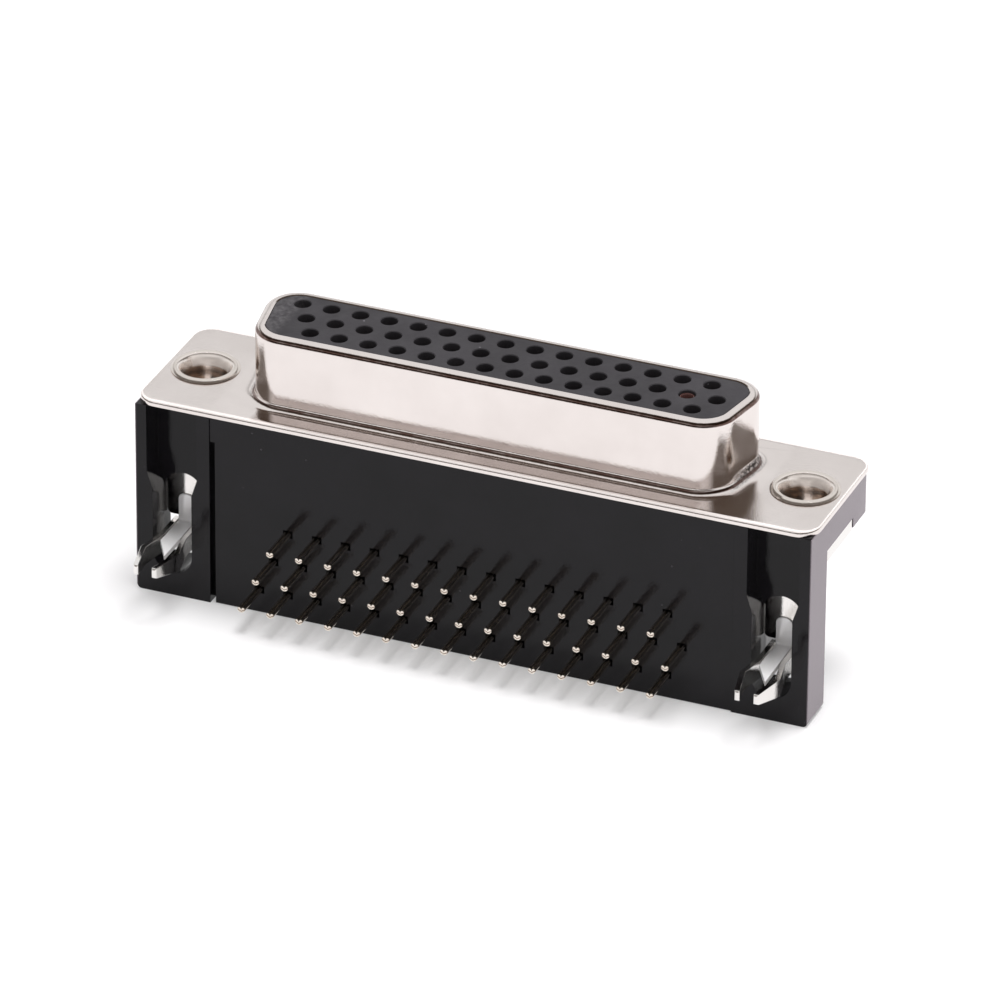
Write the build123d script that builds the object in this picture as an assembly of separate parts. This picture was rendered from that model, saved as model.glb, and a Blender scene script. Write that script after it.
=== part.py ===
from build123d import *
import math
import os

# Right-angle high-density D-sub socket, 44 contacts in three rows, for a printed board.
# It stands on its tail end, as it lies on a table. Millimetres.
# Origin: centre of the flange's mating face, midway between the two fixing holes.
# +X along the flange, +Z out of the mating face, -Y towards the board.

os.makedirs("parts", exist_ok=True)
level_tolerance = 1e-6

# Contact field
pitch = 2.29
row_pitch = 1.98
long_row_count = 15
face_hole = 1.24
contact_play = 0.05
barrel_wall = 0.17
socket_depth = 5.0
contact_setback = 0.5
hole_side_count = 10
barrel_side_count = 8
bore_side_count = 6

# Contact tails
tail_width = 0.6
tail_thickness = 0.44
tail_bend_radius = 0.6
tail_bend_count = 3
tail_groove_depth = 0.2
tail_tip_length = 0.25
tail_tip_thickness = 0.32
first_tail_drop = 8.85
tail_row_step = 2.54
tail_reach = 3.25
tail_play = 0.08

# Drawn front shell
sheet = 0.45
field_end_margin = 1.2425
field_side_margin = 1.97
fixing_margin = 4.53
fixing_edge = 3.0
flange_strip = 2.3
flange_corner = 1.6
flange_edge_chamfer = 0.2
d_corner = 2.6
d_side_angle = 10.0
d_height = 5.85
rim_lap = 0.3
rim_radius = 0.42
base_chamfer = 0.4

# Insulators
insulator_play = 0.06
face_inset = 0.05
base_overhang = 0.8
base_thickness = 0.9
moulding_corner = 1.0
ledge_thickness = 0.6
rear_body_inset = 1.0
rear_body_drop = 3.65
pocket_play = 0.06

# Bracket
bracket_end_inset = 0.12
plate_thickness = 2.5
plate_corner = 1.4
plate_back_inset = 0.15
foot_margin = 1.92
foot_corner = 0.4
leg_reach = 3.02
leg_depth = 3.3
wall_recess = 0.1
slot_width = 3.1
slot_rise = 4.49
slot_fall = 2.81
channel_margin = 0.45
channel_depth = 2.1
channel_lead = 0.8
channel_taper = 1.4
gusset_thickness = 1.2
gusset_overlap = 0.6
gusset_top_inset = 1.45
gusset_foot_inset = 3.05
hook_drop = 0.8
hook_play = 0.1

# Tail organizer
organizer_thickness = 2.6
organizer_lip = 0.9
organizer_lift = 0.05
organizer_slit = 0.4
organizer_shoulder = 2.0
organizer_rail_height = 1.3
organizer_rail_depth = 0.7

# Eyelets
eyelet_bore = 3.1
eyelet_wall = 0.45
eyelet_lip = 5.15
eyelet_mouth = 3.6
eyelet_flare = 4.5
eyelet_lip_height = 0.28
eyelet_funnel_depth = 0.1
eyelet_play = 0.05

# Board locks
lock_sheet = 0.4
lock_bend = 0.45
strap_play = 0.05
strap_depth = 0.45
strap_lift = 0.59
strap_end_radius = 0.4
tab_overlap = 0.8
tab_end_inset = 0.05
tab_lip = 1.0
tongue_overlap = 1.9
tongue_step = 0.12
tongue_head_radius = 0.5
tongue_width = 1.24
tongue_tip_reach = 2.85
tongue_slant = 2.1
fork_gap = 0.08
fork_rise = 0.24
fork_height = 1.45
fork_barb = 0.45
fork_barb_reach = 2.2
fork_tip_reach = 5.0
fork_tip_height = 0.8
fork_tip_close = 0.2

# Widths that follow from the contact field
d_mid_width = (long_row_count + 0.5) * pitch + 2 * field_end_margin
d_depth = 2 * row_pitch + 2 * field_side_margin
fixing_spacing = d_mid_width + 2 * fixing_margin
flange_length = fixing_spacing + 2 * fixing_edge
flange_width = d_depth + 2 * flange_strip
bracket_length = flange_length - 2 * bracket_end_inset
barrel_diameter = face_hole - 2 * contact_play
socket_bore = barrel_diameter - 2 * barrel_wall
channel_width = slot_width + 2 * channel_margin
strap_width = slot_width
fork_half_gap = tongue_width / 2 + fork_gap
tab_reach = eyelet_flare / 2

# Places across the flange
fixing_x = fixing_spacing / 2
leg_inner = fixing_x - leg_reach
board_face = -flange_width / 2
flange_back = flange_width / 2
leg_back = board_face + leg_depth
wall_face = board_face + wall_recess
strap_middle = leg_back - strap_depth
first_column = -(long_row_count - 0.5) / 2
rows = {"a": row_pitch, "b": 0.0, "c": -row_pitch}

# Levels below and above the flange's mating face
plate_top = -sheet
plate_bottom = plate_top - plate_thickness
barrel_top = d_height - face_inset - contact_setback
insulator_joint = plate_top - base_thickness
ledge_bottom = insulator_joint - ledge_thickness
rear_bottom = ledge_bottom - rear_body_drop
foot = -(first_tail_drop + 2 * tail_row_step + foot_margin)
tongue_level = -(first_tail_drop + tail_row_step) + lock_sheet / 2
slot_top = tongue_level + slot_rise
slot_bottom = tongue_level - slot_fall
channel_end = slot_top + channel_lead
strap_end = tongue_level + strap_lift
fork_top = tongue_level + fork_rise
fork_bottom = fork_top - fork_height


def d_outline(inset):
    """The D outline, wide side at +Y, moved inwards by an inset."""
    slope = math.tan(math.radians(d_side_angle))
    half = d_mid_width / 2
    rise = d_depth / 2
    corners = [
        (-half - rise * slope, rise),
        (-half + rise * slope, -rise),
        (half - rise * slope, -rise),
        (half + rise * slope, rise),
    ]
    face = make_face(Polyline(*corners, close=True))
    face = fillet(face.vertices(), d_corner)
    return offset(face, -inset) if inset else face


def rounded_plate(length, width, radius, bottom, top):
    """A rounded rectangle centred on the axis, between two levels."""
    face = RectangleRounded(length, width, radius)
    return extrude(Plane.XY.offset(bottom) * face, top - bottom)


def moulded_plate(length, width, bottom, top):
    """A rectangle with cut corners, centred on the axis, between two levels."""
    face = Rectangle(length, width)
    face = chamfer(face.vertices(), moulding_corner)
    return extrude(Plane.XY.offset(bottom) * face, top - bottom)


def block(x0, x1, y0, y1, z0, z1):
    """A box given by its faces."""
    return Pos((x0 + x1) / 2, (y0 + y1) / 2, (z0 + z1) / 2) * Box(x1 - x0, y1 - y0, z1 - z0)


def post(diameter, bottom, top, x=0.0, y=0.0):
    """A round post, or the tool for a round hole, between two levels."""
    return Pos(x, y, (bottom + top) / 2) * Cylinder(diameter / 2, top - bottom)


def prism(radius, sides, bottom, top, by_corners=True):
    """A many-sided post, or the tool for such a hole. The radius is to the corners or to the flats."""
    face = RegularPolygon(radius, sides, major_radius=by_corners)
    return extrude(Plane.XY.offset(bottom) * face, top - bottom)


def tail_level(row):
    """Height of a row's tails over the flange face: the row nearest the board bends first."""
    order = {"c": 0, "b": 1, "a": 2}[row]
    return -(first_tail_drop + order * tail_row_step)


def columns(row):
    """X places of one row's contacts. The rows are staggered by half a pitch."""
    start = first_column + {"a": 0.0, "b": 0.5, "c": 1.0}[row]
    count = long_row_count - (1 if row == "c" else 0)
    return [(start + i) * pitch for i in range(count)]


def front_shell():
    """Flange and D wall drawn from one sheet, with the rim turned in over the insulator."""
    flange = rounded_plate(flange_length, flange_width, flange_corner, -sheet, 0)
    top_edges = flange.faces().sort_by(Axis.Z)[-1].edges()
    flange = chamfer(top_edges, flange_edge_chamfer)
    wall = extrude(d_outline(0), d_height)
    shell = flange + wall
    root = [e for e in shell.edges().filter_by(wall_root) if abs(e.center().Z) < level_tolerance]
    shell = chamfer(root, base_chamfer)
    shell = fillet(shell.faces().sort_by(Axis.Z)[-1].edges(), rim_radius)
    hollow = extrude(Plane.XY.offset(-sheet) * d_outline(sheet), d_height)
    window = extrude(d_outline(sheet + rim_lap), d_height)
    shell = shell - hollow - window
    for side in (-1, 1):
        shell -= post(eyelet_tube() + 2 * eyelet_play, -sheet, 0, side * fixing_x)
    return shell


def wall_root(edge):
    """True for the edges where the D wall meets the flange."""
    place = edge.center()
    half_width = d_mid_width / 2 + d_depth / 2
    return abs(place.X) < half_width and abs(place.Y) < d_depth / 2 + base_chamfer


def eyelet_tube():
    """Outside diameter of the eyelet's tube."""
    return eyelet_bore + 2 * eyelet_wall


def eyelet(side):
    """Rivet that clamps the flange, the plate and the lock's tab, open for the fixing screw."""
    inner = eyelet_bore / 2
    tube = eyelet_tube() / 2
    top = eyelet_lip_height
    bottom = plate_bottom - lock_sheet
    lower = bottom - eyelet_lip_height
    mouth = eyelet_mouth / 2
    crest = (mouth + eyelet_lip / 2) / 2
    outline = [
        Line((tube, bottom), (tube, 0)),
        Line((tube, 0), (eyelet_lip / 2, 0)),
        Line((eyelet_lip / 2, 0), (crest, top)),
        Line((crest, top), (mouth, 0)),
        Line((mouth, 0), (inner, -eyelet_funnel_depth)),
        Line((inner, -eyelet_funnel_depth), (inner, lower)),
        Line((inner, lower), (eyelet_flare / 2, bottom)),
        Line((eyelet_flare / 2, bottom), (tube, bottom)),
    ]
    section = Plane.XZ * make_face(outline)
    return Pos(side * fixing_x, 0, 0) * revolve(section, Axis.Z)


def front_insulator():
    """Moulding in the D with the 44 socket holes, trapped behind the flange by its base."""
    body = extrude(Plane.XY.offset(-sheet) * d_outline(sheet + insulator_play), d_height)
    face = extrude(d_outline(sheet + rim_lap + insulator_play), d_height - face_inset)
    length, width = insulator_base_size()
    base = moulded_plate(length, width, insulator_joint, plate_top)
    body = body + face + base
    tools = []
    for row, y in rows.items():
        hole = prism(face_hole / 2, hole_side_count, insulator_joint, d_height, False)
        tools += [Pos(x, y, 0) * hole for x in columns(row)]
    return body - tools


def insulator_base_size():
    """Length and width of the flat base that both insulators share."""
    slant = d_depth * math.tan(math.radians(d_side_angle))
    overhang = 2 * (base_overhang - sheet)
    return d_mid_width + slant + overhang, d_depth + overhang


def rear_insulator():
    """Block behind the front insulator that leads the tails through the plate, with a slot for each row."""
    length, width = insulator_base_size()
    inset = 2 * rear_body_inset
    body = moulded_plate(length, width, ledge_bottom, insulator_joint)
    body += moulded_plate(length - inset, width - inset, rear_bottom, ledge_bottom)
    deep = tail_thickness / 2 + contact_play
    reach = tail_width / 2 + contact_play
    for row, y in rows.items():
        start, *_, end = columns(row)
        body -= block(start - reach, end + reach, y - deep, y + deep, rear_bottom, insulator_joint)
    return body


def contact(row):
    """Socket contact of one row: a rolled barrel, then a stamped tail bent towards the board."""
    barrel = prism(barrel_diameter / 2, barrel_side_count, insulator_joint, barrel_top)
    barrel -= prism(socket_bore / 2, bore_side_count, barrel_top - socket_depth, barrel_top)
    return Pos(0, rows[row], 0) * (barrel + tail(board_face - tail_reach - rows[row], tail_level(row)))


def tail(tip, level):
    """Tail cut from strip: down, round the bend and out to a blunt tip, with a groove along its run."""
    half = tail_width / 2
    thick = tail_thickness / 2
    turn = level + tail_bend_radius
    steps = [i * math.pi / 2 / tail_bend_count for i in range(tail_bend_count + 1)]
    outer = [bend_point(tail_bend_radius + thick, turn, angle) for angle in steps]
    inner = [bend_point(tail_bend_radius - thick, turn, angle) for angle in reversed(steps)]
    under = level - thick
    top = level + thick
    nose = [(tip + tail_tip_length, under), (tip, top - tail_tip_thickness), (tip, top)]
    outline = [(-thick, insulator_joint), (thick, insulator_joint)] + outer + nose + inner
    body = extrude(Plane.YZ.offset(-half) * make_face(Polyline(*outline, close=True)), tail_width)
    notch = Polyline((-half, thick), (half, thick), (0, thick - tail_groove_depth), close=True)
    run = Plane(origin=(0, -tail_bend_radius, level), x_dir=(-1, 0, 0), z_dir=(0, -1, 0))
    return body - extrude(run * make_face(notch), -tail_bend_radius - tip)


def bend_point(radius, turn, angle):
    """A point of the tail's bend, an angle past the vertical, as Y and Z."""
    return radius * math.cos(angle) - tail_bend_radius, turn - radius * math.sin(angle)


def bracket():
    """Black moulding: plate under the flange, two slotted end legs and two gussets behind them."""
    back = flange_back - plate_back_inset
    half = bracket_length / 2
    plate = block(-half, half, board_face, back, plate_bottom, plate_top)
    rear_corners = [e for e in plate.edges().filter_by(Axis.Z) if e.center().Y > 0]
    plate = fillet(rear_corners, plate_corner)
    lip_back = wall_face + organizer_lip + pocket_play
    body = plate - block(-leg_inner, leg_inner, board_face, lip_back, plate_bottom, plate_top)
    for side in (-1, 1):
        body += leg_block(side) + gusset(side) + hook(side, plate)
    for side in (-1, 1):
        body -= leg_cuts(side)
    length, width = insulator_base_size()
    play = 2 * pocket_play
    inset = 2 * rear_body_inset
    body -= moulded_plate(length + play, width + play, ledge_bottom, plate_top)
    body -= moulded_plate(length - inset + play, width - inset + play, plate_bottom, ledge_bottom)
    for side in (-1, 1):
        body -= post(eyelet_tube() + 2 * eyelet_play, plate_bottom, plate_top, side * fixing_x)
    return body


def leg_block(side):
    """End leg, as high as the plate's top, with its outer foot corner rounded."""
    x0, x1 = sorted((side * leg_inner, side * bracket_length / 2))
    body = block(x0, x1, board_face, leg_back, foot, plate_top)
    low_edges = body.edges().filter_by(Axis.Y).group_by(Axis.Z)[0]
    outer_edge = low_edges.sort_by(Axis.X)[-1 if side > 0 else 0]
    return fillet(outer_edge, foot_corner)


def leg_cuts(side):
    """Front channel that narrows into the obround lock slot, and the strap groove at the back."""
    centre = side * fixing_x
    wide = channel_width / 2
    narrow = slot_width / 2
    right_half = [
        (wide, plate_top),
        (wide, channel_end),
        (narrow, channel_end - channel_taper),
        (narrow, slot_top - narrow),
    ]
    left_half = [(-x, z) for x, z in reversed(right_half)]
    floor = Plane(origin=(centre, board_face + channel_depth, 0), x_dir=(1, 0, 0), z_dir=(0, -1, 0))
    channel = extrude(floor * make_face(Polyline(*right_half, *left_half, close=True)), channel_depth)
    slot_face = SlotOverall(slot_top - slot_bottom, slot_width, rotation=90)
    slot_face = Pos(0, (slot_top + slot_bottom) / 2) * slot_face
    back = Plane(origin=(centre, leg_back, 0), x_dir=(1, 0, 0), z_dir=(0, -1, 0))
    slot = extrude(back * slot_face, leg_depth)
    reach = strap_width / 2 + strap_play
    groove_floor = strap_middle - lock_sheet / 2 - strap_play
    groove = block(centre - reach, centre + reach, groove_floor, leg_back, slot_bottom, plate_bottom)
    return channel + slot + groove


def gusset(side):
    """Web behind a leg that ties it to the plate and gives the part its foot at the back."""
    outer = leg_inner + gusset_overlap
    x0, x1 = sorted((side * outer, side * (outer - gusset_thickness)))
    outline = Polyline(
        (leg_back, plate_bottom),
        (flange_back - gusset_top_inset, plate_bottom),
        (flange_back - gusset_top_inset, plate_bottom - hook_drop),
        (flange_back - gusset_foot_inset, foot),
        (leg_back, foot),
        close=True,
    )
    return extrude(Plane.YZ.offset(x0) * make_face(outline), x1 - x0)


def hook(side, plate):
    """Thickened back corner of the plate that keeps the lock's tab from sliding out."""
    start = tab_reach + hook_play
    x0, x1 = sorted((side * (leg_inner + gusset_overlap), side * bracket_length / 2))
    below = Pos(0, 0, -hook_drop) * plate
    return below & block(x0, x1, start, flange_back, plate_bottom - hook_drop, plate_bottom)


def tail_organizer():
    """Front wall between the legs that spaces the 44 tails for the board."""
    back = wall_face + organizer_thickness
    bottom = foot + organizer_lift
    lip_back = wall_face + organizer_lip
    shoulder = plate_top - organizer_shoulder
    slit_side = organizer_slit - leg_inner
    body = block(-leg_inner, leg_inner, wall_face, lip_back, shoulder, plate_top)
    body += block(slit_side, leg_inner, wall_face, lip_back, plate_bottom, shoulder)
    body += block(slit_side, leg_inner, wall_face, lip_back, bottom, plate_bottom)
    body += block(-leg_inner, leg_inner, lip_back, back, bottom, plate_bottom)
    rail_end = leg_inner - gusset_thickness + gusset_overlap - pocket_play
    rail_back = back + organizer_rail_depth
    body += block(-rail_end, rail_end, back, rail_back, bottom, bottom + organizer_rail_height)
    tools = []
    half = tail_width / 2 + tail_play
    tall = tail_thickness / 2 + tail_play
    for row in rows:
        level = tail_level(row)
        for x in columns(row):
            tools.append(block(x - half, x + half, wall_face, back, level - tall, level + tall))
    return body - tools


def strip(points, width, x):
    """A bent strip of lock sheet of one width, swept along its middle line in a YZ plane."""
    path = Plane.YZ.offset(x) * FilletPolyline(*points, radius=lock_bend)
    start = path @ 0
    along = path % 0
    section = Plane(origin=start, x_dir=(1, 0, 0), z_dir=along) * Rectangle(width, lock_sheet)
    return sweep(section, path)


def fork_arm(side, root):
    """One arm of the fork, an upright strip that bows out to its barb and closes at the tip."""
    inner = fork_half_gap
    outer = fork_half_gap + lock_sheet
    barb = board_face - fork_barb_reach
    tip = board_face - fork_tip_reach
    outline = Polyline(
        (inner, root),
        (outer, root),
        (outer, board_face),
        (outer + fork_barb, barb),
        (outer - fork_tip_close, tip),
        (inner - fork_tip_close, tip),
        (inner + fork_barb, barb),
        (inner, board_face),
        close=True,
    )
    arm = extrude(Plane.XY.offset(fork_bottom) * make_face(outline), fork_height)
    taper = Polyline((tip, fork_bottom), (barb, fork_bottom), (tip, fork_top - fork_tip_height), close=True)
    arm -= extrude(Plane.YZ * make_face(taper), 2 * outer)
    return arm if side > 0 else mirror(arm, Plane.YZ)


def board_lock(side):
    """Stamped lock: a tab under the plate, a strap down the leg and a forked spring into the board."""
    centre = side * fixing_x
    tab_level = plate_bottom - lock_sheet / 2
    bend = (strap_middle, tab_level)
    path = [(leg_back + tab_overlap, tab_level), bend, (strap_middle, strap_end)]
    strap = strip(path, strap_width, centre)
    strap = fillet(strap.edges().filter_by(Axis.Y).group_by(Axis.Z)[0], strap_end_radius)
    body = strap + tongue(centre) + lock_tab(side)
    face = strap_middle - lock_sheet / 2
    neck = tongue_width / 2
    back = face + lock_sheet
    foot_half = fork_half_gap + lock_sheet
    body += block(centre - neck, centre + neck, face, back, fork_bottom, strap_end + strap_end_radius)
    body += block(centre - foot_half, centre + foot_half, face, back, fork_bottom, fork_top)
    for arm in (-1, 1):
        body += Pos(centre, 0, 0) * fork_arm(arm, face)
    return body


def tongue(centre):
    """Middle tongue of the fork, pressed forward from the strap, with a round head and a slanted end."""
    end = board_face - tongue_tip_reach
    plane = strap_middle - tongue_step
    path = [(plane, strap_end + tongue_overlap), (plane, tongue_level), (end, tongue_level)]
    body = strip(path, tongue_width, centre)
    head = body.edges().filter_by(Axis.Y).group_by(Axis.Z)[-1]
    body = fillet(head, tongue_head_radius)
    half = tongue_width / 2
    slant = Polyline((-half, end), (half, end), (-half, end + tongue_slant), close=True)
    cutter = Pos(centre, 0, tongue_level - lock_sheet) * extrude(make_face(slant), 2 * lock_sheet)
    return body - cutter


def lock_tab(side):
    """The lock's tab, held by the eyelet, with its outer end folded down."""
    end = bracket_length / 2 - tab_end_inset
    x0, x1 = sorted((side * (fixing_x - tab_reach), side * end))
    front = leg_back + strap_play
    tab = block(x0, x1, front, tab_reach, plate_bottom - lock_sheet, plate_bottom)
    f0, f1 = sorted((side * (end - lock_sheet), side * end))
    tab += block(f0, f1, front, tab_reach, plate_bottom - tab_lip, plate_bottom)
    hole = post(eyelet_tube() + 2 * eyelet_play, plate_bottom - tab_lip, plate_bottom, side * fixing_x)
    return tab - hole


def save(name, solid):
    export_step(solid, f"parts/{name}.step")


save("front_shell", front_shell())
save("front_insulator", front_insulator())
save("rear_insulator", rear_insulator())
save("bracket", bracket())
save("tail_organizer", tail_organizer())
for name, side in (("left", -1), ("right", 1)):
    save(f"eyelet_{name}", eyelet(side))
    save(f"board_lock_{name}", board_lock(side))
for row in rows:
    master = contact(row)
    for number, x in enumerate(columns(row), start=1):
        save(f"contact_{row}{number:02d}", Pos(x, 0, 0) * master)
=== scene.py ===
import bpy
import bmesh
from math import cos, pi, radians, sin, tan
from mathutils import Matrix, Vector


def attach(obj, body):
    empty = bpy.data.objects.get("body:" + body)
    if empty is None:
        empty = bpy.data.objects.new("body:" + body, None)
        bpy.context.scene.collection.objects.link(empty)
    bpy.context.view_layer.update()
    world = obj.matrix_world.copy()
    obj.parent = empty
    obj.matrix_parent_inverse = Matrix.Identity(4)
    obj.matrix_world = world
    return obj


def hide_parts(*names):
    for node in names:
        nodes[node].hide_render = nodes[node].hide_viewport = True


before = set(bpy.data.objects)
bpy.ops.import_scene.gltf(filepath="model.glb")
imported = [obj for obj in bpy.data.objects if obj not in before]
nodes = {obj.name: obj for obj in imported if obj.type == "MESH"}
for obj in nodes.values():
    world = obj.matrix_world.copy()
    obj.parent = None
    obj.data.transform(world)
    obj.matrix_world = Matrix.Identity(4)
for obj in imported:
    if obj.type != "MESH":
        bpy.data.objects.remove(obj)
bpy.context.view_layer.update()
mm = 0.001
hair = 1e-7  # metres, nearer than this counts as touching
scene = bpy.context.scene
print("frame loaded")

# sizes in millimetres that several pieces and finishes share
connector = {
    "holeSpacing": 47.04, "pitch": 2.29, "rowPitch": 1.98, "firstTailDrop": 8.85, "tailRowStep": 2.54,
}

# shader node helpers


def newNode(tree, kind, values=None, **settings):
    node = tree.nodes.new(kind)
    for key, value in settings.items():
        setattr(node, key, value)
    for key, value in (values or {}).items():
        node.inputs[key].default_value = value
    return node


def calculate(tree, operation, first, second=None):
    node = newNode(tree, "ShaderNodeMath", operation=operation)
    for socket, value in zip(node.inputs, (first, second)):
        if isinstance(value, (int, float)):
            socket.default_value = value
        elif value is not None:
            tree.links.new(value, socket)
    return node.outputs[0]


def splitVector(tree, vector):
    parts = newNode(tree, "ShaderNodeSeparateXYZ")
    tree.links.new(vector, parts.inputs[0])
    return parts.outputs["X"], parts.outputs["Y"], parts.outputs["Z"]


def mapValue(tree, value, start, end, smooth=True, falling=False):
    # 0 at the start and 1 at the end, or the other way round where it falls
    node = newNode(tree, "ShaderNodeMapRange", {"From Min": start, "From Max": end})
    if smooth:
        node.interpolation_type = "SMOOTHSTEP"
    if falling:
        node.inputs["To Min"].default_value, node.inputs["To Max"].default_value = 1, 0
    tree.links.new(value, node.inputs["Value"])
    return node.outputs["Result"]


def blendColors(tree, factor, first, second):
    node = newNode(tree, "ShaderNodeMix", data_type="RGBA")
    tree.links.new(factor, node.inputs["Factor"])
    for socket, value in ((node.inputs[6], first), (node.inputs[7], second)):
        if isinstance(value, tuple):
            socket.default_value = (*value, 1)
        else:
            tree.links.new(value, socket)
    return node.outputs[2]


def mixShaders(tree, factor, first, second):
    node = newNode(tree, "ShaderNodeMixShader")
    for socket, value in zip(node.inputs, (factor, first, second)):
        tree.links.new(value, socket)
    return node.outputs[0]


def emptyTree(owner):
    owner.use_nodes = True
    owner.node_tree.nodes.clear()
    return owner.node_tree


# camera, room, lamps and floor, in metres

camera = {
    "place": (0.23174778, -0.57033150, 0.33357518), "turn": (1.06672551, -0.00683144, 0.38990962),
    "lens": 347.3745, "sensor": 36, "clip": (0.05, 30),
}
room = {
    "ambient": 0.62, "ambientColor": (1, 0.99, 0.985),
    "paleWall": (0.83, 0.83, 0.83), "dimWall": (0.085, 0.065, 0.05),
    "sideEdge": (0.30, 0.44), "frontEdge": (-0.45, -0.70),
    "frontBand": 0.485, "frontBandWidth": (0.03, 0.15),
    "softBox": (-0.15, 0.42, 0.89), "boxEdge": (0.72, 0.79),
}
lamps = {
    "aim": (0, 0, -0.01),
    "keyLamp": {"place": (0.06, 0.06, 0.66), "size": (0.30, 0.30), "power": 4.5},
    "sideLamp": {"place": (0.70, 0.45, 0.14), "size": (0.35, 0.25), "power": 3.0},
}
floor = {
    "level": -15.86 * mm, "size": 6.0, "paper": (0.86, 0.85, 0.86),
    "glowSeen": 0.28, "glowMirrored": 0.5, "mirroredFade": 0.28,
}


def addCamera():
    data = bpy.data.cameras.new("camera")
    data.lens = camera["lens"]
    data.sensor_width = camera["sensor"]
    data.clip_start, data.clip_end = camera["clip"]
    viewer = bpy.data.objects.new("camera", data)
    viewer.location = camera["place"]
    viewer.rotation_euler = camera["turn"]
    scene.collection.objects.link(viewer)
    scene.camera = viewer


def seenStraight(tree, path):
    return calculate(tree, "MAXIMUM", path.outputs["Is Camera Ray"], path.outputs["Is Transmission Ray"])


def mirroredRoom(tree):
    # metal mirrors a dim room, pale low at its sides, with a pale band in front and a soft box above
    direction = newNode(tree, "ShaderNodeTexCoord").outputs["Generated"]
    y, z = splitVector(tree, direction)[1:]
    fromBand = calculate(tree, "ABSOLUTE", calculate(tree, "SUBTRACT", z, room["frontBand"]))
    around = newNode(tree, "ShaderNodeMix")
    tree.links.new(mapValue(tree, y, *room["frontEdge"], smooth=False), around.inputs["Factor"])
    tree.links.new(mapValue(tree, z, *room["sideEdge"], falling=True), around.inputs[2])
    tree.links.new(mapValue(tree, fromBand, *room["frontBandWidth"], falling=True), around.inputs[3])
    facing = newNode(tree, "ShaderNodeVectorMath", operation="DOT_PRODUCT")
    facing.inputs[1].default_value = room["softBox"]
    tree.links.new(direction, facing.inputs[0])
    box = mapValue(tree, facing.outputs["Value"], *room["boxEdge"])
    pale = calculate(tree, "MAXIMUM", around.outputs[0], box)
    return blendColors(tree, pale, room["dimWall"], room["paleWall"])


def addWorld():
    world = bpy.data.worlds.new("studioWorld")
    tree = emptyTree(world)
    output = newNode(tree, "ShaderNodeOutputWorld")
    path = newNode(tree, "ShaderNodeLightPath")
    white = newNode(tree, "ShaderNodeBackground", {"Color": (1, 1, 1, 1)})
    soft = newNode(tree, "ShaderNodeBackground",
                   {"Color": (*room["ambientColor"], 1), "Strength": room["ambient"]})
    mirrored = newNode(tree, "ShaderNodeBackground")
    tree.links.new(mirroredRoom(tree), mirrored.inputs["Color"])
    around = mixShaders(tree, path.outputs["Is Glossy Ray"], soft.outputs[0], mirrored.outputs[0])
    seen = mixShaders(tree, seenStraight(tree, path), around, white.outputs[0])
    tree.links.new(seen, output.inputs["Surface"])
    scene.world = world
    scene.view_settings.view_transform = "Standard"


def addLamp(name):
    lamp = lamps[name]
    data = bpy.data.lights.new(name, "AREA")
    data.shape = "RECTANGLE"
    data.size, data.size_y = lamp["size"]
    data.energy = lamp["power"]
    light = bpy.data.objects.new(name, data)
    light.location = lamp["place"]
    light.visible_glossy = False  # the mirrored room has its own soft box
    aim = Vector(lamps["aim"]) - Vector(lamp["place"])
    light.rotation_euler = aim.to_track_quat("-Z", "Y").to_euler()
    scene.collection.objects.link(light)


def makePaleFloor():
    material = bpy.data.materials.new("paleFloor")
    tree = emptyTree(material)
    output = newNode(tree, "ShaderNodeOutputMaterial")
    path = newNode(tree, "ShaderNodeLightPath")
    paper = newNode(tree, "ShaderNodeBsdfDiffuse", {"Color": (*floor["paper"], 1)})
    glow = newNode(tree, "ShaderNodeEmission", {"Color": (1, 1, 1, 1)})
    glossy = path.outputs["Is Glossy Ray"]
    fade = calculate(tree, "MULTIPLY", glossy, floor["mirroredFade"])
    tree.links.new(calculate(tree, "SUBTRACT", 1, fade), glow.inputs["Strength"])
    seen = calculate(tree, "MULTIPLY", seenStraight(tree, path), floor["glowSeen"])
    share = calculate(tree, "ADD", calculate(tree, "MULTIPLY", glossy, floor["glowMirrored"]), seen)
    surface = mixShaders(tree, share, paper.outputs[0], glow.outputs[0])
    tree.links.new(surface, output.inputs["Surface"])
    return material


def addFloor():
    bm = bmesh.new()
    place = Matrix.Translation((0, 0, floor["level"]))
    bmesh.ops.create_grid(bm, x_segments=1, y_segments=1, size=floor["size"] / 2, matrix=place)
    mesh = bpy.data.meshes.new("floor")
    bm.to_mesh(mesh)
    bm.free()
    mesh.materials.append(makePaleFloor())
    sheet = bpy.data.objects.new("floor", mesh)
    scene.collection.objects.link(sheet)


addCamera()
addWorld()
addLamp("keyLamp")
addLamp("sideLamp")
addFloor()
print("camera, lamps and floor placed")

# finishes: the effects that several of them share


def newGroup(name, inputs, output):
    group = bpy.data.node_groups.new(name, "ShaderNodeTree")
    for label, value in inputs.items():
        kind = "NodeSocketVector" if value is None else "NodeSocketFloat"
        socket = group.interface.new_socket(name=label, in_out="INPUT", socket_type=kind)
        if value is not None:
            socket.default_value = value
    group.interface.new_socket(name=output, in_out="OUTPUT", socket_type="NodeSocketFloat")
    return group, group.nodes.new("NodeGroupInput").outputs, group.nodes.new("NodeGroupOutput").inputs[0]


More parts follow.
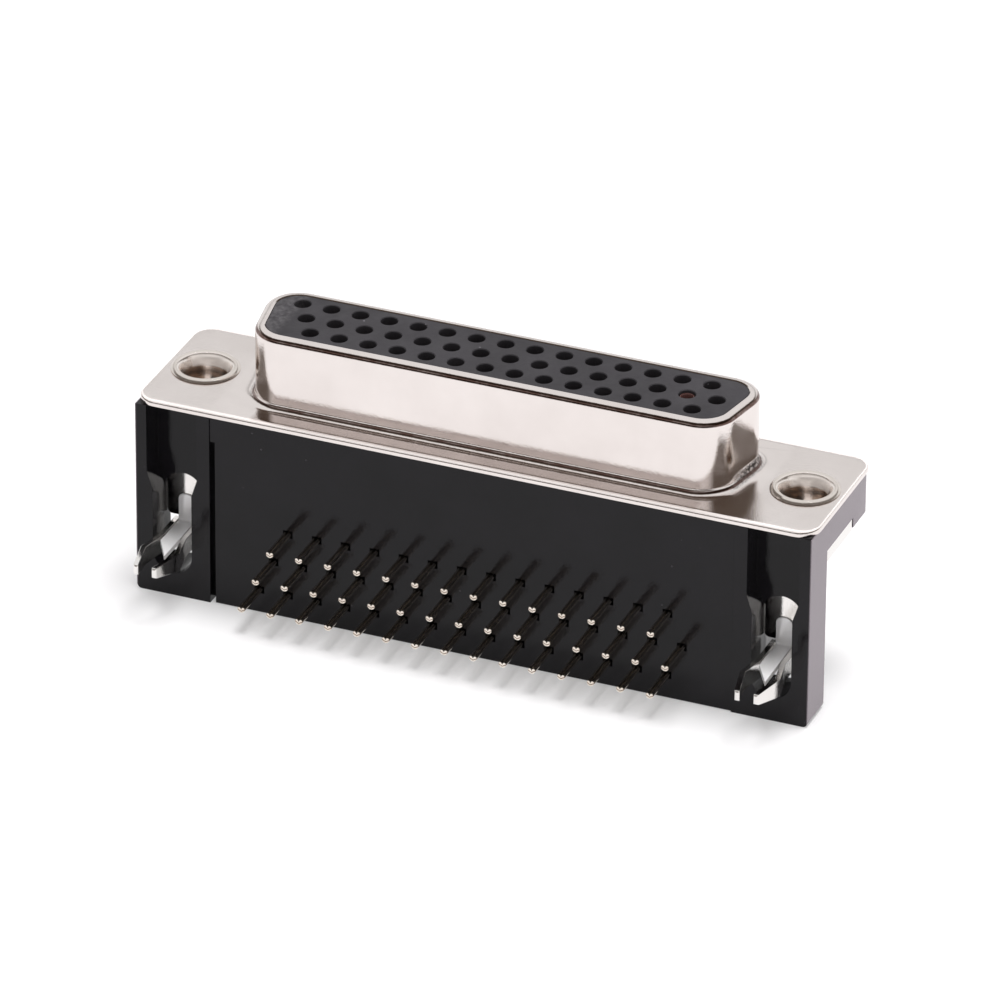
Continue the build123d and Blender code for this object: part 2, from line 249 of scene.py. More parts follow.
def makeMottle():
    # cloudy spots between a low and a high value
    group, given, result = newGroup("mottle", {"Vector": None, "Scale": 300.0, "Low": 0.0, "High": 1.0},
                                    "Value")
    noise = newNode(group, "ShaderNodeTexNoise", {"Detail": 4.0, "Roughness": 0.6})
    spread = newNode(group, "ShaderNodeMapRange", {"From Min": 0.3, "From Max": 0.7})
    group.links.new(given["Vector"], noise.inputs["Vector"])
    group.links.new(given["Scale"], noise.inputs["Scale"])
    group.links.new(noise.outputs["Fac"], spread.inputs["Value"])
    group.links.new(given["Low"], spread.inputs["To Min"])
    group.links.new(given["High"], spread.inputs["To Max"])
    group.links.new(spread.outputs["Result"], result)
    return group


def makeSpecks():
    # small round specks in a share of the cells
    group, given, result = newGroup("specks", {"Vector": None, "Scale": 900.0, "Size": 0.12, "Share": 0.5},
                                    "Mask")
    cells = newNode(group, "ShaderNodeTexVoronoi", feature="F1")
    parts = newNode(group, "ShaderNodeSeparateColor")
    group.links.new(given["Vector"], cells.inputs["Vector"])
    group.links.new(given["Scale"], cells.inputs["Scale"])
    group.links.new(cells.outputs["Color"], parts.inputs[0])
    near = calculate(group, "LESS_THAN", cells.outputs["Distance"], given["Size"])
    chosen = calculate(group, "LESS_THAN", parts.outputs[0], given["Share"])
    group.links.new(calculate(group, "MULTIPLY", near, chosen), result)
    return group


def makeWithin():
    # 1 between two limits, with a soft edge inside each
    group, given, result = newGroup("within", {"Value": 0.0, "From": 0.0, "To": 1.0, "Blur": 0.0001},
                                    "Mask")
    masks = []
    for upper, lower in (("Value", "From"), ("To", "Value")):
        past = calculate(group, "SUBTRACT", given[upper], given[lower])
        share = calculate(group, "DIVIDE", past, given["Blur"])
        masks.append(mapValue(group, share, 0, 1))
    group.links.new(calculate(group, "MULTIPLY", *masks), result)
    return group


mottle = makeMottle()
specks = makeSpecks()
within = makeWithin()


def useGroup(tree, group, vector, **values):
    node = newNode(tree, "ShaderNodeGroup", node_tree=group)
    tree.links.new(vector, node.inputs["Vector"])
    for key, value in values.items():
        node.inputs[key].default_value = value
    return node.outputs[0]


def spots(tree, place, scale, low=0.0, high=1.0):
    return useGroup(tree, mottle, place, Scale=scale, Low=low, High=high)


def zone(tree, *spans):
    # where each value lies between its two limits; limits and blur are in millimetres
    mask = None
    for value, low, high, blur in spans:
        node = newNode(tree, "ShaderNodeGroup", node_tree=within)
        tree.links.new(value, node.inputs["Value"])
        for key, limit in (("From", low), ("To", high), ("Blur", blur)):
            node.inputs[key].default_value = limit * mm
        inside = node.outputs["Mask"]
        mask = calculate(tree, "MULTIPLY", mask, inside) if mask else inside
    return mask


def addBump(tree, shader, height, strength, distance):
    node = newNode(tree, "ShaderNodeBump", {"Strength": strength, "Distance": distance})
    tree.links.new(height, node.inputs["Height"])
    if shader.inputs["Normal"].is_linked:
        tree.links.new(shader.inputs["Normal"].links[0].from_socket, node.inputs["Normal"])
    tree.links.new(node.outputs["Normal"], shader.inputs["Normal"])


def openFinish(material):
    tree = material.node_tree
    place = newNode(tree, "ShaderNodeTexCoord").outputs["Object"]
    return tree, tree.nodes["Principled BSDF"], place


def startFinish(name):
    material = bpy.data.materials.new(name)
    material.use_nodes = True
    return material, *openFinish(material)


def baseColor(shader):
    return shader.inputs["Base Color"].links[0].from_socket


def dullMetal(tree, shader, mask, full, loss):
    dull = calculate(tree, "SUBTRACT", full, calculate(tree, "MULTIPLY", mask, loss))
    tree.links.new(dull, shader.inputs["Metallic"])


# plated and tinned metal; a zone is its low end, high end and blur in millimetres,
# and a bump is its strength and its distance in metres

metal = {"cloudScale": 160.0, "glossScale": 420.0, "grainScale": 5200.0, "grain": (0.18, 0.000014)}


def makeMetal(name, finish):
    material, tree, shader, place = startFinish(name)
    shader.inputs["Metallic"].default_value = 1
    cloud = spots(tree, place, metal["cloudScale"])
    color = blendColors(tree, cloud, finish["bright"], finish["cloudy"])
    tree.links.new(color, shader.inputs["Base Color"])
    gloss = spots(tree, place, metal["glossScale"], *finish["gloss"])
    tree.links.new(gloss, shader.inputs["Roughness"])
    addBump(tree, shader, spots(tree, place, metal["grainScale"]), *metal["grain"])
    return material


shellFinish = {
    "bright": (0.905, 0.842, 0.815), "cloudy": (0.825, 0.762, 0.735), "gloss": (0.09, 0.16),
    "rootEnds": (18.6, 20.6, 0.5), "rootRise": (0.03, 1.0, 0.25),
    "coarseScale": 3800.0, "coarse": (0.9, 0.00016),
    "flangeEnds": (20.4, 27.0, 0.6), "flangeTop": (-1.0, 0.04, 0.03),
    "satinScale": 5600.0, "satin": (0.2, 0.00003),
    "pitScale": 4300.0, "pitSpread": (-0.5, 1.7), "pitShade": (0.06, 0.05, 0.045),
    "reflectionMottleScale": 900.0, "reflectionMottleSpread": (0.7, 1.15),
    "rimLine": (5.42, 5.75, 0.07), "rimPaintedReflection": (0.15, 0.09, 0.075),
    "rootLine": (0.13, 0.33, 0.06), "rootPaintedReflection": (0.17, 0.10, 0.085),
    "edgeRound": (-0.075, -0.012, 0.008), "edgeHighlightDulling": 0.7,
    "stripDepth": (-6.05, -4.75, 0.12), "stripReach": (-1.0, 17.6, 0.5),
    "stripShare": 0.6, "stripGrey": (0.56, 0.475, 0.445),
}


def markShellAndPaintShade(material):
    # coarse dull root at both ends of the D with dark pits, partly painted shade, satin flange ends,
    # brown lines of painted reflection at rim and root, a duller round along the flange's edge that
    # stands in for its highlight, and a greyer strip in front of the D
    f = shellFinish
    tree, shader, place = openFinish(material)
    x, y, z = splitVector(tree, place)
    out = calculate(tree, "ABSOLUTE", x)
    root = zone(tree, (out, *f["rootEnds"]), (z, *f["rootRise"]))
    coarse = spots(tree, place, f["coarseScale"])
    addBump(tree, shader, calculate(tree, "MULTIPLY", coarse, root), *f["coarse"])
    satin = spots(tree, place, f["satinScale"])
    ends = zone(tree, (out, *f["flangeEnds"]), (z, *f["flangeTop"]))
    addBump(tree, shader, calculate(tree, "MULTIPLY", satin, ends), *f["satin"])
    # dark pits at both ends of the root: real rough texture, darkened further as painted shade
    pitsAndShade = calculate(tree, "MULTIPLY", spots(tree, place, f["pitScale"], *f["pitSpread"]), root)
    color = blendColors(tree, pitsAndShade, baseColor(shader), f["pitShade"])
    # the brown lines at rim and root are painted reflections of the dark room in the roundings
    reflectionMottle = spots(tree, place, f["reflectionMottleScale"], *f["reflectionMottleSpread"])
    for line, brown in (("rimLine", "rimPaintedReflection"), ("rootLine", "rootPaintedReflection")):
        mask = calculate(tree, "MULTIPLY", zone(tree, (z, *f[line])), reflectionMottle)
        color = blendColors(tree, mask, color, f[brown])
    strip = zone(tree, (y, *f["stripDepth"]), (out, *f["stripReach"]))
    strip = calculate(tree, "MULTIPLY", strip, f["stripShare"])
    color = blendColors(tree, strip, color, f["stripGrey"])
    tree.links.new(color, shader.inputs["Base Color"])
    # the flange edge's upper round is made matt so that it shows pale, a painted highlight
    dullMetal(tree, shader, zone(tree, (z, *f["edgeRound"])), 1, f["edgeHighlightDulling"])


eyeletFinish = {
    "bright": (0.93, 0.87, 0.83), "cloudy": (0.82, 0.75, 0.70), "gloss": (0.12, 0.22), "metallic": 0.9,
    "boreSides": (0.55, 3.0, 0.5), "boreDepth": (-4.0, -0.45, 0.3), "boreShade": (0.40, 0.31, 0.25),
    "lip": (2.05, 3.0, 0.12), "lipPaintedShade": (0.76, 0.70, 0.65),
    "funnelBack": (0.75, 3.0, 0.4), "funnelDepth": (-0.75, 0.2, 0.15), "funnel": (0.0, 2.15, 0.06),
    "funnelHighlightDulling": 0.6,
}


def paintEyeletShade(material):
    # painted reflection: brown at the two sides of the bore; painted shade: greyer on the lip;
    # matt at the back of the funnel, a painted highlight there
    f = eyeletFinish
    tree, shader, place = openFinish(material)
    x, y, z = splitVector(tree, place)
    side = calculate(tree, "SUBTRACT", calculate(tree, "ABSOLUTE", x), connector["holeSpacing"] / 2 * mm)
    away = calculate(tree, "ABSOLUTE", side)
    # the bore is painted brown at its two sides, a painted reflection
    boreShade = zone(tree, (away, *f["boreSides"]), (z, *f["boreDepth"]))
    color = blendColors(tree, boreShade, baseColor(shader), f["boreShade"])
    flat = newNode(tree, "ShaderNodeCombineXYZ")
    tree.links.new(side, flat.inputs["X"])
    tree.links.new(y, flat.inputs["Y"])
    length = newNode(tree, "ShaderNodeVectorMath", operation="LENGTH")
    tree.links.new(flat.outputs[0], length.inputs[0])
    radius = length.outputs["Value"]
    # the lip is painted greyer than the funnel, a painted shade
    color = blendColors(tree, zone(tree, (radius, *f["lip"])), color, f["lipPaintedShade"])
    tree.links.new(color, shader.inputs["Base Color"])
    # the back of the funnel is made matt so that the lamps light it pale, a painted highlight
    back = zone(tree, (y, *f["funnelBack"]), (z, *f["funnelDepth"]), (radius, *f["funnel"]))
    dullMetal(tree, shader, back, f["metallic"], f["funnelHighlightDulling"])


lockFinish = {
    "bright": (0.94, 0.92, 0.90), "cloudy": (0.84, 0.81, 0.78), "gloss": (0.08, 0.16),
    "rollReach": -1.5, "strapDepth": (-3.75, -2.0, 0.05), "roll": (1.0, 0.0003),
    "tongueWidth": (-0.66, 0.66, 0.03), "tongueRise": (-13.8, -8.6, 0.05),
    "tongueDepth": (-9.6, -3.60, 0.05), "tongueDulling": 0.8, "tonguePaintedLight": (0.96, 0.95, 0.955),
}


def shapeLock(material):
    # the strap rolls away at its left side, and the tongue is matt and near white, a painted highlight
    f = lockFinish
    tree, shader, place = openFinish(material)
    x, y, z = splitVector(tree, place)
    centre = calculate(tree, "MULTIPLY", calculate(tree, "SIGN", x), connector["holeSpacing"] / 2 * mm)
    side = calculate(tree, "SUBTRACT", x, centre)
    roll = mapValue(tree, side, 0, f["rollReach"] * mm, smooth=False)
    fall = calculate(tree, "MULTIPLY", roll, roll)
    strap = calculate(tree, "MULTIPLY", fall, zone(tree, (y, *f["strapDepth"])))
    addBump(tree, shader, calculate(tree, "MULTIPLY", strap, -1), *f["roll"])
    # the tongue is made matt and near white, a painted highlight for the light it catches
    tongue = zone(tree, (side, *f["tongueWidth"]), (z, *f["tongueRise"]), (y, *f["tongueDepth"]))
    dullMetal(tree, shader, tongue, 1, f["tongueDulling"])
    color = blendColors(tree, tongue, baseColor(shader), f["tonguePaintedLight"])
    tree.links.new(color, shader.inputs["Base Color"])


contactFinish = {
    "bright": (0.93, 0.87, 0.79), "cloudy": (0.80, 0.72, 0.62), "gloss": (0.12, 0.22),
    "creaseSlope": 0.55, "creaseWidth": (-0.145, -0.055, 0.02), "tipDepth": (-9.6, -9.3, 0.02),
    "creaseShade": (0.16, 0.09, 0.06),
    "mouthRise": (4.0, 5.85, 0.1), "mouth": (0.10, 0.045, 0.04), "mouthDulling": 0.7,
}


def shadeTipCreases(material):
    # each tail's tip has a brown line of painted shade in the crease below its lobes, and the sockets'
    # mouths are dark brown: the copper's own tone with painted shade inside the holes
    f = contactFinish
    tree, shader, place = openFinish(material)
    x, y, z = splitVector(tree, place)
    column, row = connector["pitch"] / 4 * mm, connector["tailRowStep"] * mm
    away = calculate(tree, "PINGPONG", calculate(tree, "ADD", x, column), column)
    up = calculate(tree, "ADD", z, connector["firstTailDrop"] * mm + row / 2)
    up = calculate(tree, "SUBTRACT", calculate(tree, "FLOORED_MODULO", up, row), row / 2)
    line = calculate(tree, "SUBTRACT", up, calculate(tree, "MULTIPLY", away, f["creaseSlope"]))
    # a brown line of painted shade in the crease below the tip's lobes
    creaseShade = zone(tree, (line, *f["creaseWidth"]), (y, *f["tipDepth"]))
    color = blendColors(tree, creaseShade, baseColor(shader), f["creaseShade"])
    # the mouths are dark brown: the copper's own tone, darkened with painted shade inside the holes
    mouth = zone(tree, (z, *f["mouthRise"]))
    tree.links.new(blendColors(tree, mouth, color, f["mouth"]), shader.inputs["Base Color"])
    dullMetal(tree, shader, mouth, 1, f["mouthDulling"])


nickelShell = makeMetal("nickelShell", shellFinish)
nickelEyelet = makeMetal("nickelEyelet", eyeletFinish)
tinnedLock = makeMetal("tinnedLock", lockFinish)
contactAlloy = makeMetal("contactAlloy", contactFinish)
markShellAndPaintShade(nickelShell)
paintEyeletShade(nickelEyelet)
shapeLock(tinnedLock)
shadeTipCreases(contactAlloy)

# black and dark grey mouldings

plastic = {
    "cloudScale": 240.0, "glossScale": 500.0, "grainScale": 2600.0, "grain": (0.12, 0.00004),
    "lint": {"Scale": 1400.0, "Size": 0.10, "Share": 0.06}, "lintGain": 3.0, "lintLift": 0.02,
}


def makeMoulding(name, finish):
    material, tree, shader, place = startFinish(name)
    shader.inputs["Specular IOR Level"].default_value = finish["specular"]
    cloud = spots(tree, place, plastic["cloudScale"])
    color = blendColors(tree, cloud, finish["dark"], finish["pale"])
    dust = useGroup(tree, specks, place, **plastic["lint"])
    lint = tuple(plastic["lintGain"] * part + plastic["lintLift"] for part in finish["pale"])
    tree.links.new(blendColors(tree, dust, color, lint), shader.inputs["Base Color"])
    gloss = spots(tree, place, plastic["glossScale"], *finish["gloss"])
    tree.links.new(gloss, shader.inputs["Roughness"])
    addBump(tree, shader, spots(tree, place, plastic["grainScale"]), *plastic["grain"])
    return material


insulatorFinish = {
    "dark": (0.027, 0.025, 0.028), "pale": (0.043, 0.040, 0.045), "gloss": (0.5, 0.7), "specular": 0.3,
    "scuffedEnd": (-19.5, -16.2, 0.8), "scuffScale": 2300.0, "scuffSpread": (-0.2, 1.0),
    "scuff": (0.085, 0.08, 0.085),
}


def scuffInsulator(material):
    # the left end is scuffed
    f = insulatorFinish
    tree, shader, place = openFinish(material)
    x = splitVector(tree, place)[0]
    scuffs = spots(tree, place, f["scuffScale"], *f["scuffSpread"])
    scuffs = calculate(tree, "MULTIPLY", scuffs, zone(tree, (x, *f["scuffedEnd"])))
    color = blendColors(tree, scuffs, baseColor(shader), f["scuff"])
    tree.links.new(color, shader.inputs["Base Color"])


bracketFinish = {
    "dark": (0.004, 0.0035, 0.0045), "pale": (0.007, 0.006, 0.008), "gloss": (0.07, 0.15),
    "specular": 0.26, "sheenReach": (26.3, 28.3, 0.06), "paintedSheen": (0.165, 0.14, 0.158),
}


def paintEndSheen(material):
    # the bracket's two end faces are painted pale, a painted sheen for the grazing light on them
    f = bracketFinish
    tree, shader, place = openFinish(material)
    x = splitVector(tree, place)[0]
    # painted sheen: the black end faces are coloured pale
    ends = zone(tree, (calculate(tree, "ABSOLUTE", x), *f["sheenReach"]))
    tree.links.new(blendColors(tree, ends, baseColor(shader), f["paintedSheen"]), shader.inputs["Base Color"])


faceInsulator = makeMoulding("faceInsulator", insulatorFinish)
blackMoulding = makeMoulding("blackMoulding", bracketFinish)
scuffInsulator(faceInsulator)
paintEndSheen(blackMoulding)
print("finishes made")

# helpers for the pieces; sizes are in millimetres


def roundedLoop(bm, corners, lengths, z, segments):
    verts = [bm.verts.new((x * mm, y * mm, z * mm)) for x, y in corners]
    face = bm.faces.new(verts)
    known = set(bm.edges) - set(face.edges)
    for vert, length in zip(verts, lengths):
        bmesh.ops.bevel(bm, geom=[vert], offset=length * mm, affect="VERTICES", segments=segments,
                        profile=0.5, material=-1, offset_type="OFFSET")
    edges = [edge for edge in bm.edges if edge not in known]
    faces = list({face for edge in edges for face in edge.link_faces})
    bmesh.ops.delete(bm, geom=faces, context="FACES_ONLY")
    return edges


def roundedBox(bm, x, y, z, radius, segments):
    return roundedLoop(bm, [(-x, y), (-x, -y), (x, -y), (x, y)], [radius] * 4, z, segments)


def circleLoop(bm, radius, x, y, z, segments):
    place = Matrix.Translation((x * mm, y * mm, z * mm))
    made = bmesh.ops.create_circle(bm, cap_ends=False, radius=radius * mm, segments=segments, matrix=place)
    return list({edge for vert in made["verts"] for edge in vert.link_edges})


def fillFlat(bm, loops):
    edges = [edge for loop in loops for edge in loop]
    bmesh.ops.triangle_fill(bm, use_beauty=True, edges=edges)


def bridgeLoops(bm, loops):
    for first, second in zip(loops, loops[1:]):
        rise = abs(first[0].verts[0].co.z - second[0].verts[0].co.z)
        if rise < hair:
            fillFlat(bm, [first, second])
        else:
            bmesh.ops.bridge_loops(bm, edges=first + second)


def arcSteps(count):
    return [radians(90) * i / count for i in range(count + 1)]


def addPiece(name, bm, material, replaced, sharpAngle=35):
    bmesh.ops.recalc_face_normals(bm, faces=bm.faces)
    mesh = bpy.data.meshes.new(name)
    bm.to_mesh(mesh)
    bm.free()
    mesh.shade_smooth()
    mesh.set_sharp_from_angle(angle=radians(sharpAngle))
    mesh.materials.append(material)
    piece = bpy.data.objects.new(name, mesh)
    scene.collection.objects.link(piece)
    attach(piece, "root")
    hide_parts(*replaced)
    return piece


def flattenShading(piece):
    modifier = piece.modifiers.new("flatShading", "WEIGHTED_NORMAL")
    modifier.weight = 50
    modifier.keep_sharp = True


# drawn shell: flange, D wall and turned-in rim

shell = {
    "halfWidth": 18.99, "halfDepth": 3.95, "slant": 10, "corner": 2.6, "cornerSegments": 14,
    "height": 5.85, "sheet": 0.45, "lap": 0.30, "lapBreak": 0.06,
    "rimRadius": 0.52, "rimSteps": 6, "rootRadius": 0.5, "endRootRadius": 0.95, "rootSteps": 7,
    "flangeLength": 53.04, "flangeWidth": 12.5, "flangeCorner": 1.6, "flangeSegments": 8,
    "edgeRun": 0.65, "edgeDrop": 0.18, "endShare": 0.35, "edgeSteps": 6, "edgeBreak": 0.04,
    "holeDiameter": 4.1, "holeSegments": 48,
}


def dLoop(bm, outX, outY, z):
    slant = radians(shell["slant"])
    rise = shell["halfDepth"] + outY
    side = shell["halfWidth"] + outX / cos(slant)
    low, high = side - tan(slant) * rise, side + tan(slant) * rise
    corners = [(-high, rise), (-low, -rise), (low, -rise), (high, rise)]
    radius = shell["corner"] + (outX + outY) / 2
    wide, narrow = [radius / tan(radians(45 + turn * shell["slant"] / 2)) for turn in (-1, 1)]
    return roundedLoop(bm, corners, [wide, narrow, narrow, wide], z, shell["cornerSegments"])


def flangeLoop(bm, inset, z):
    x = shell["flangeLength"] / 2 - inset * shell["endShare"]
    y = shell["flangeWidth"] / 2 - inset
    radius = shell["flangeCorner"] - inset * (1 + shell["endShare"]) / 2
    return roundedBox(bm, x, y, z, radius, shell["flangeSegments"])


def makeShell():
    bm = bmesh.new()
    sheet, top = shell["sheet"], shell["height"]
    bottom = -sheet
    edge = [flangeLoop(bm, shell["edgeRun"] * (1 - sin(a)), -shell["edgeDrop"] * (1 - cos(a)))
            for a in arcSteps(shell["edgeSteps"])]
    edge += [flangeLoop(bm, 0, bottom + shell["edgeBreak"]), flangeLoop(bm, shell["edgeBreak"], bottom)]
    wall = [dLoop(bm, shell["endRootRadius"] * (1 - sin(a)), shell["rootRadius"] * (1 - sin(a)),
                  shell["rootRadius"] * (1 - cos(a))) for a in arcSteps(shell["rootSteps"])]
    rim = shell["rimRadius"]
    wall += [dLoop(bm, rim * (cos(a) - 1), rim * (cos(a) - 1), top - rim + rim * sin(a))
             for a in arcSteps(shell["rimSteps"])]
    lap, ease = -sheet - shell["lap"], shell["lapBreak"]
    inside = [(lap + ease, top), (lap, top - ease), (lap, top - sheet), (-sheet, top - sheet),
              (-sheet, bottom)]
    wall += [dLoop(bm, out, out, z) for out, z in inside]
    bridgeLoops(bm, edge)
    bridgeLoops(bm, wall)
    radius, x = shell["holeDiameter"] / 2, connector["holeSpacing"] / 2
    holes = [[circleLoop(bm, radius, side * x, 0, z, shell["holeSegments"]) for side in (-1, 1)]
             for z in (0, bottom)]
    fillFlat(bm, [edge[0], wall[0]] + holes[0])
    fillFlat(bm, [edge[-1], wall[-1]] + holes[1])
    for upper, lower in zip(*holes):
        bridgeLoops(bm, [upper, lower])
    flattenShading(addPiece("drawnShell", bm, nickelShell, ["front_shell"]))


makeShell()
print("shell made")

# insulator in the D, with a round lead-in at each of the 44 holes

field = {  # each row's shift in pitches, its number of contacts and its level in row pitches
    "rows": {"a": (0.0, 15, 1), "b": (0.5, 15, 0), "c": (1.0, 14, -1)}, "firstColumn": -7.25,
}
insulator = {
    "play": 0.03, "seatPlay": 0.02, "faceDrop": 0.05, "faceRound": 0.05, "faceSteps": 3,
    "holeRadius": 0.64, "leadIn": 0.06, "holeSegments": 28,
    "joint": -1.35, "baseLength": 40.07, "baseWidth": 8.6, "baseCorner": 1.0, "baseSegments": 1,
}


def contactPlaces(row):
    shift, count, level = field["rows"][row]
    first = shift + field["firstColumn"]
    return [((i + first) * connector["pitch"], level * connector["rowPitch"]) for i in range(count)]


def makeInsulator():
    bm = bmesh.new()
    sheet, joint = shell["sheet"], insulator["joint"]
    body = -sheet - insulator["play"]
    face = body - shell["lap"]
    seat = -sheet - insulator["seatPlay"]
    step = shell["height"] - sheet - insulator["seatPlay"]
    top = shell["height"] - insulator["faceDrop"]
    edge = insulator["faceRound"]
    base = [roundedBox(bm, insulator["baseLength"] / 2, insulator["baseWidth"] / 2, z,
                       insulator["baseCorner"], insulator["baseSegments"]) for z in (joint, seat)]
    wall = [dLoop(bm, out, out, z) for out, z in ((body, seat), (body, step), (face, step))]
    wall += [dLoop(bm, face - edge * (1 - cos(a)), face - edge * (1 - cos(a)), top - edge + edge * sin(a))
             for a in arcSteps(insulator["faceSteps"])]
    bridgeLoops(bm, base)
    bridgeLoops(bm, wall)
    radius, leadIn = insulator["holeRadius"], insulator["leadIn"]
    sizes = [(radius + leadIn, top), (radius, top - leadIn), (radius, joint)]
    mouths, ends = [], []
    for row in field["rows"]:
        for x, y in contactPlaces(row):
            loops = [circleLoop(bm, size, x, y, z, insulator["holeSegments"]) for size, z in sizes]
            bridgeLoops(bm, loops)
            mouths.append(loops[0])
            ends.append(loops[-1])
    fillFlat(bm, [wall[-1]] + mouths)
    fillFlat(bm, [base[1], wall[0]])
    fillFlat(bm, [base[0]] + ends)
    flattenShading(addPiece("holedInsulator", bm, faceInsulator, ["front_insulator"]))


makeInsulator()
print("insulator made")

# eyelets: rolled lip and bell-shaped funnel above, flare below

eyelet = {
    "bore": 1.55, "tube": 2.0, "tubeTop": -0.02, "seat": -3.35, "turns": 64, "sharpAngle": 55,
    "lip": 2.575, "lipRound": [(-0.04, 0.0), (0.0, 0.06), (-0.06, 0.14)],  # out from the lip, height
    "crest": 2.26, "crown": [(0.12, 0.25), (0.0, 0.28), (-0.14, 0.25), (-0.28, 0.16)],
    "funnel": [(0.33, 0.02), (0.26, -0.16), (0.19, -0.40), (0.10, -0.72), (0.0, -1.1)],
    "low": -3.63, "mouth": [(0.0, 0.25), (0.05, 0.08), (0.16, 0.0)],  # out from the bore, above the low end
    "flare": 2.25, "flareRun": 0.04, "flareDrop": 0.06,
}


def eyeletOutline():
    e = eyelet
    points = [(e["tube"], e["seat"]), (e["tube"], e["tubeTop"])]
    for start, steps, level in (("lip", "lipRound", 0), ("crest", "crown", 0), ("bore", "funnel", 0),
                                ("bore", "mouth", e["low"])):
        points += [(e[start] + out, level + height) for out, height in e[steps]]
    return points + [(e["flare"], e["seat"] - e["flareDrop"]), (e["flare"] - e["flareRun"], e["seat"])]


def makeEyelet(name, side):
    bm = bmesh.new()
    verts = [bm.verts.new((radius * mm, 0, z * mm)) for radius, z in eyeletOutline()]
    edges = [bm.edges.new(pair) for pair in zip(verts, verts[1:] + verts[:1])]
    bmesh.ops.spin(bm, geom=verts + edges, cent=(0, 0, 0), axis=(0, 0, 1), dvec=(0, 0, 0),
                   angle=2 * pi, steps=eyelet["turns"], use_merge=True, use_duplicate=False)
    bmesh.ops.remove_doubles(bm, verts=bm.verts, dist=hair)
    bmesh.ops.translate(bm, vec=(side * connector["holeSpacing"] / 2 * mm, 0, 0), verts=bm.verts)
    addPiece("eyelet." + name, bm, nickelEyelet, ["eyelet_" + name],
             sharpAngle=eyelet["sharpAngle"])


makeEyelet("left", -1)
makeEyelet("right", 1)
print("eyelets made")

# contacts: rolled barrel, stem, bend and a grooved tail with a coined tip

contact = {
    "width": 0.6, "thickness": 0.44, "groove": 0.2, "grooveHalf": 0.06,
    "sole": 0.20, "heel": (0.09, 0.08), "waist": -0.02, "shoulder": 0.11, "lobe": (0.08, 0.17),
    "tip": -9.5, "tipScale": 0.93, "tipLift": 0.02,
    "coin": [(0.03, 1.04), (0.07, 1.02), (0.13, 1.0136)],  # run and growth of each step
    "bend": 0.6, "bendSteps": 8, "stemOverlap": 0.3, "tailRows": {"c": 0, "b": 1, "a": 2},
    "barrel": 0.57, "socket": 0.4, "barrelTop": 4.8, "barrelSegments": 20, "socketDepth": 5.0,
    "mouthRound": (0.05, 0.06), "leadIn": (0.08, 0.12),
    "raised": "contact_b14", "raisedTop": 5.6, "sharpAngle": 40,
}


def tailLevel(row):
    return -connector["firstTailDrop"] - contact["tailRows"][row] * connector["tailRowStep"]


def extrudeFace(bm, face, move):
    made = bmesh.ops.extrude_face_region(bm, geom=[face])["geom"]
    verts = [item for item in made if isinstance(item, bmesh.types.BMVert)]
    bmesh.ops.translate(bm, vec=Vector(move) * mm, verts=verts)
    bmesh.ops.delete(bm, geom=[face], context="FACES_ONLY")
    return [item for item in made if isinstance(item, bmesh.types.BMFace)][0]


def tailOutline():
    # a heart: left side, sole, right side, and two lobes with the groove between them
    c = contact
    half, thick = c["width"] / 2, c["thickness"] / 2
    side = [(half - c["sole"], -thick), (half - c["heel"][0], -thick + c["heel"][1]),
            (half, c["waist"]), (half, thick - c["shoulder"])]
    lobe = [(half - c["lobe"][0], thick), (half - c["lobe"][1], thick),
            (c["grooveHalf"], thick - c["grooveHalf"])]
    leftSide, leftLobe = [[(-x, z) for x, z in reversed(part)] for part in (side, lobe)]
    return leftSide + side + lobe + [(0.0, thick - c["groove"])] + leftLobe


def makeTail(bm, y, level):
    tip, scale = contact["tip"], contact["tipScale"]
    verts = [bm.verts.new((x * mm, tip * mm, (level + z) * mm)) for x, z in tailOutline()]
    face = bm.faces.new(verts)
    centre = Matrix.Translation(Vector((0, tip, level + contact["tipLift"])) * -mm)
    bmesh.ops.scale(bm, vec=(scale, 1, scale), space=centre, verts=verts)
    for run, grow in contact["coin"]:
        face = extrudeFace(bm, face, (0, run, 0))
        bmesh.ops.scale(bm, vec=(grow, 1, grow), space=centre, verts=face.verts)
    bm.faces.new(verts)
    start = tip + sum(run for run, grow in contact["coin"])
    bendStart = y - contact["bend"]
    bendTop = level + contact["bend"]
    face = extrudeFace(bm, face, (0, bendStart - start, 0))
    pivot = Vector((0, bendStart, bendTop)) * mm
    turned = bmesh.ops.spin(bm, geom=[face], cent=pivot, axis=(1, 0, 0), dvec=(0, 0, 0), angle=pi / 2,
                            steps=contact["bendSteps"], use_merge=False, use_duplicate=False)["geom_last"]
    bmesh.ops.delete(bm, geom=[face], context="FACES_ONLY")
    face = [item for item in turned if isinstance(item, bmesh.types.BMFace)][0]
    extrudeFace(bm, face, (0, 0, insulator["joint"] + contact["stemOverlap"] - bendTop))


def makeBarrel(bm, y, top):
    outer, inner = contact["barrel"], contact["socket"]
    ease, drop = contact["mouthRound"]
    leadIn, leadDrop = contact["leadIn"]
    sizes = [(outer, insulator["joint"]), (outer, top - drop), (outer - ease, top), (inner + leadIn, top),
             (inner, top - leadDrop), (inner, top - contact["socketDepth"])]
    loops = [circleLoop(bm, radius, 0, y, z, contact["barrelSegments"]) for radius, z in sizes]
    bridgeLoops(bm, loops)
    fillFlat(bm, [loops[0]])
    fillFlat(bm, [loops[-1]])


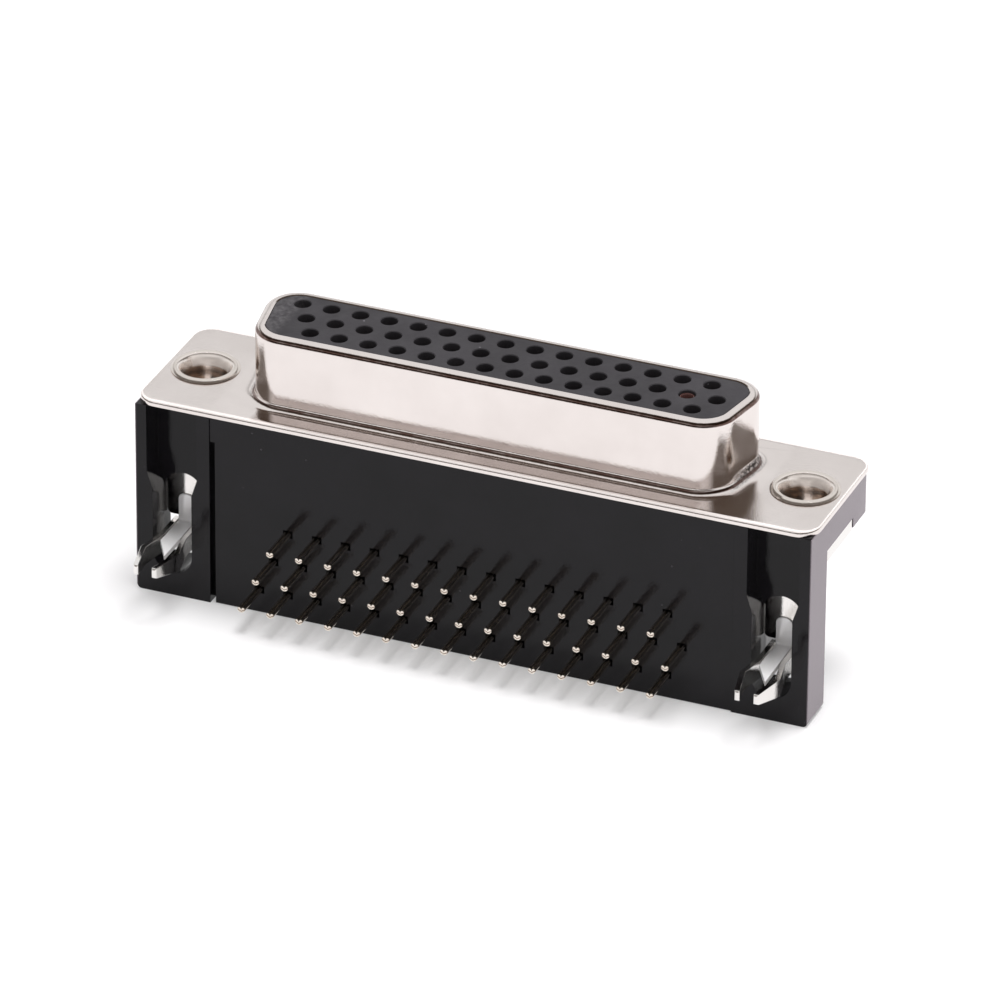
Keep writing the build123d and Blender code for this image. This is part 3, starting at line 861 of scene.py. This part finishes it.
def makeContacts():
    for row in field["rows"]:
        for number, (x, y) in enumerate(contactPlaces(row), start=1):
            bm = bmesh.new()
            makeTail(bm, y, tailLevel(row))
            node = f"contact_{row}{number:02d}"
            makeBarrel(bm, y, contact["raisedTop" if node == contact["raised"] else "barrelTop"])
            bmesh.ops.translate(bm, vec=(x * mm, 0, 0), verts=bm.verts)
            addPiece("stamped." + node, bm, contactAlloy, [node],
                     sharpAngle=contact["sharpAngle"])


makeContacts()
print("contacts made")

# bracket, tail organizer and board locks: the solids with their edges eased

eased = {
    "sharpAngle": 35, "bracket": (0.09, 3), "organizer": (0.05, 2), "lock": (0.09, 3),  # width, segments
    "forkEnd": -11.2, "forkRound": 0.15, "forkSegments": 4,
}


def easedCopy(name, node, material, slot, width, segments, forkEnd=None):
    bm = bmesh.new()
    bm.from_mesh(nodes[node].data)
    bmesh.ops.remove_doubles(bm, verts=bm.verts, dist=2e-6)
    bmesh.ops.dissolve_limit(bm, angle_limit=radians(0.5), use_dissolve_boundaries=False,
                             verts=bm.verts, edges=bm.edges, delimit={"NORMAL"})
    if forkEnd:
        ends = [edge for edge in bm.edges if all(vert.co.y < forkEnd * mm for vert in edge.verts)]
        bmesh.ops.bevel(bm, geom=ends, offset=eased["forkRound"] * mm, affect="EDGES",
                        segments=eased["forkSegments"], profile=0.5, material=-1)
    piece = addPiece(name, bm, material, [node], sharpAngle=eased["sharpAngle"])
    edges = piece.modifiers.new("easedEdges", "BEVEL")
    edges.width = width * mm
    edges.segments = segments
    edges.limit_method = "ANGLE"
    edges.angle_limit = radians(eased["sharpAngle"])
    edges.harden_normals = True


easedCopy("mouldedBracket", "bracket", blackMoulding, "black_moulding", *eased["bracket"])
easedCopy("mouldedOrganizer", "tail_organizer", blackMoulding, "black_moulding", *eased["organizer"])
for side in ("left", "right"):
    easedCopy("boardLock." + side, "board_lock_" + side, tinnedLock, "tinned_lock", *eased["lock"],
              forkEnd=eased["forkEnd"])
nodes["rear_insulator"].data.materials.clear()
nodes["rear_insulator"].data.materials.append(blackMoulding)
print("mouldings and locks made")
